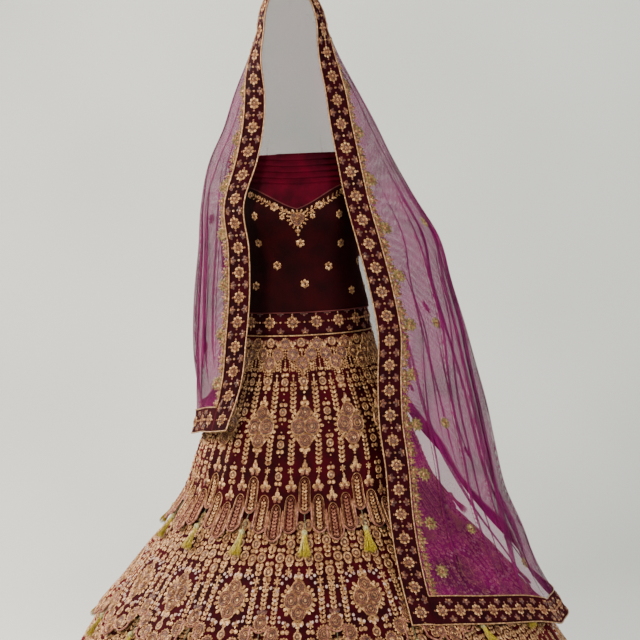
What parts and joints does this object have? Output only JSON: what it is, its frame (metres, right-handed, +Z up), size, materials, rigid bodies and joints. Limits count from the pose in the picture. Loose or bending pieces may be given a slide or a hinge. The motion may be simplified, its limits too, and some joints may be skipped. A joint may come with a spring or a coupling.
{
  "type": "lehenga choli",
  "caption": "Bridal lehenga choli: tiered scalloped velvet skirt with tassels, strapless velvet choli with pleated yoke, and net dupatta over the head, hollow as worn.",
  "frame": {"origin": "middle of the waist, level with the choli's hem, where the wearer's waist holds the skirt up", "axes": "+Z up along the wearer's body, the front towards -Y, +X towards the wearer's left"},
  "size_m": [1.4329, 1.3955, 1.8117],
  "materials": {
    "velvet": "maroon velvet, embroidered",
    "rose_satin": "pleated satin",
    "border_velvet": "embroidered velvet",
    "net": "fine sheer net",
    "tassel_silk": "silk floss"
  },
  "bodies": {
    "root": {"waistband_front": "velvet", "waistband_back": "velvet", "tier_1_front": "velvet", "tier_1_back": "velvet", "tier_2_front": "velvet", "tier_2_back": "velvet", "tier_3_front": "velvet", "tier_3_back": "velvet", "choli_front": "velvet", "choli_back": "velvet", "yoke_front": "rose_satin", "yoke_back": "rose_satin", "dupatta_net": "net", "dupatta_front_border": "border_velvet", "dupatta_hem_border": "border_velvet", "tier_1_tassel_01": "tassel_silk", "tier_1_tassel_02": "tassel_silk", "tier_1_tassel_03": "tassel_silk", "tier_1_tassel_04": "tassel_silk", "tier_1_tassel_05": "tassel_silk", "tier_1_tassel_06": "tassel_silk", "tier_1_tassel_07": "tassel_silk", "tier_1_tassel_08": "tassel_silk", "tier_1_tassel_09": "tassel_silk", "tier_1_tassel_10": "tassel_silk", "tier_1_tassel_11": "tassel_silk", "tier_1_tassel_12": "tassel_silk", "tier_1_tassel_13": "tassel_silk", "tier_1_tassel_14": "tassel_silk", "tier_1_tassel_15": "tassel_silk", "tier_2_tassel_01": "tassel_silk", "tier_2_tassel_02": "tassel_silk", "tier_2_tassel_03": "tassel_silk", "tier_2_tassel_04": "tassel_silk", "tier_2_tassel_05": "tassel_silk", "tier_2_tassel_06": "tassel_silk", "tier_2_tassel_07": "tassel_silk", "tier_2_tassel_08": "tassel_silk", "tier_2_tassel_09": "tassel_silk", "tier_2_tassel_10": "tassel_silk", "tier_2_tassel_11": "tassel_silk", "tier_2_tassel_12": "tassel_silk", "tier_2_tassel_13": "tassel_silk", "tier_2_tassel_14": "tassel_silk", "tier_2_tassel_15": "tassel_silk", "tier_2_tassel_16": "tassel_silk", "tier_2_tassel_17": "tassel_silk", "tier_2_tassel_18": "tassel_silk"}
  },
  "joints": []
}
